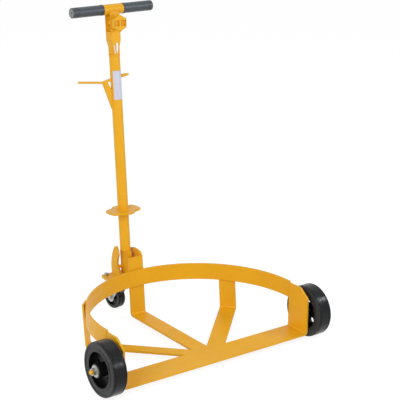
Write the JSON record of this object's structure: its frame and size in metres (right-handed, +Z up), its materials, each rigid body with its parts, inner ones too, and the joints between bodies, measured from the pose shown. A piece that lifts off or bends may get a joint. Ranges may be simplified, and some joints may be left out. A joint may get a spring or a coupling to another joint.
{
  "type": "drum trolley",
  "caption": "Low yellow drum dolly: half-ring steel frame on rubber wheels and a swivel castor, with a tilting pole handle that carries a hook and a bung socket.",
  "frame": {"origin": "on the floor under the middle of the trolley's outline", "axes": "+Z up, +Y back towards the handle, X along the front bar, so the wheels roll along Y"},
  "size_m": [0.8006, 0.6192, 0.9427],
  "materials": {
    "yellow_paint": "satin",
    "zinc_plate": "satin",
    "bare_steel": "satin",
    "tyre_rubber": "matte",
    "black_core": "matte",
    "grip_rubber": "matte",
    "label_film": "satin",
    "plug_plastic": "matte"
  },
  "bodies": {
    "frame": {"front_crossbar": "yellow_paint", "ring_band": "yellow_paint", "left_spoke": "yellow_paint", "middle_spoke": "yellow_paint", "right_spoke": "yellow_paint", "mount_plate": "yellow_paint", "left_ear": "yellow_paint", "right_ear": "yellow_paint", "hinge_pin": "yellow_paint", "left_axle": "yellow_paint", "right_axle": "yellow_paint", "axle_spacers": "yellow_paint", "axle_washers": "zinc_plate", "axle_nuts": "zinc_plate", "castor_plate": "zinc_plate", "castor_kingpin": "zinc_plate", "castor_balls": "bare_steel", "castor_bolts": "zinc_plate", "castor_nuts": "zinc_plate"},
    "left_wheel": {"left_tyre": "tyre_rubber", "left_wheel_core": "black_core", "left_wheel_bush": "bare_steel"},
    "right_wheel": {"right_tyre": "tyre_rubber", "right_wheel_core": "black_core", "right_wheel_bush": "bare_steel"},
    "castor_yoke": {"castor_fork": "zinc_plate", "castor_axle": "zinc_plate", "castor_axle_nut": "zinc_plate"},
    "castor_wheel": {"castor_tyre": "tyre_rubber", "castor_wheel_core": "black_core", "castor_wheel_bush": "bare_steel"},
    "handle": {"pole_tube": "yellow_paint", "pole_tongue": "yellow_paint", "pole_cap": "yellow_paint", "step_plate": "yellow_paint", "hook_plate": "yellow_paint", "hook_stub": "yellow_paint", "label": "label_film", "head_front_strap": "yellow_paint", "head_rear_strap": "yellow_paint", "head_side_plate": "yellow_paint", "head_block": "yellow_paint", "socket_shank": "yellow_paint", "bung_socket": "yellow_paint", "cross_sleeve": "yellow_paint", "grip_bar": "bare_steel", "left_grip": "grip_rubber", "right_grip": "grip_rubber", "grip_plugs": "plug_plastic"}
  },
  "joints": [
    {"name": "left_wheel_spin", "type": "hinge", "parent": "frame", "child": "left_wheel", "pos_m": [-0.35175, -0.23344, 0.0762], "axis": [1, 0, 0], "continuous": true},
    {"name": "right_wheel_spin", "type": "hinge", "parent": "frame", "child": "right_wheel", "pos_m": [0.35175, -0.23344, 0.0762], "axis": [1, 0, 0], "continuous": true},
    {"name": "castor_swivel", "type": "hinge", "parent": "frame", "child": "castor_yoke", "pos_m": [0, 0.23658, 0.09], "axis": [0, 0, 1], "continuous": true},
    {"name": "castor_wheel_spin", "type": "hinge", "parent": "castor_yoke", "child": "castor_wheel", "pos_m": [-0.00366, 0.27138, 0.0375], "axis": [0.9945, 0.1045, 0], "continuous": true},
    {"name": "handle_tilt", "type": "hinge", "parent": "frame", "child": "handle", "pos_m": [0, 0.21858, 0.1533], "axis": [1, 0, 0], "range_deg": [0, 30]}
  ]
}
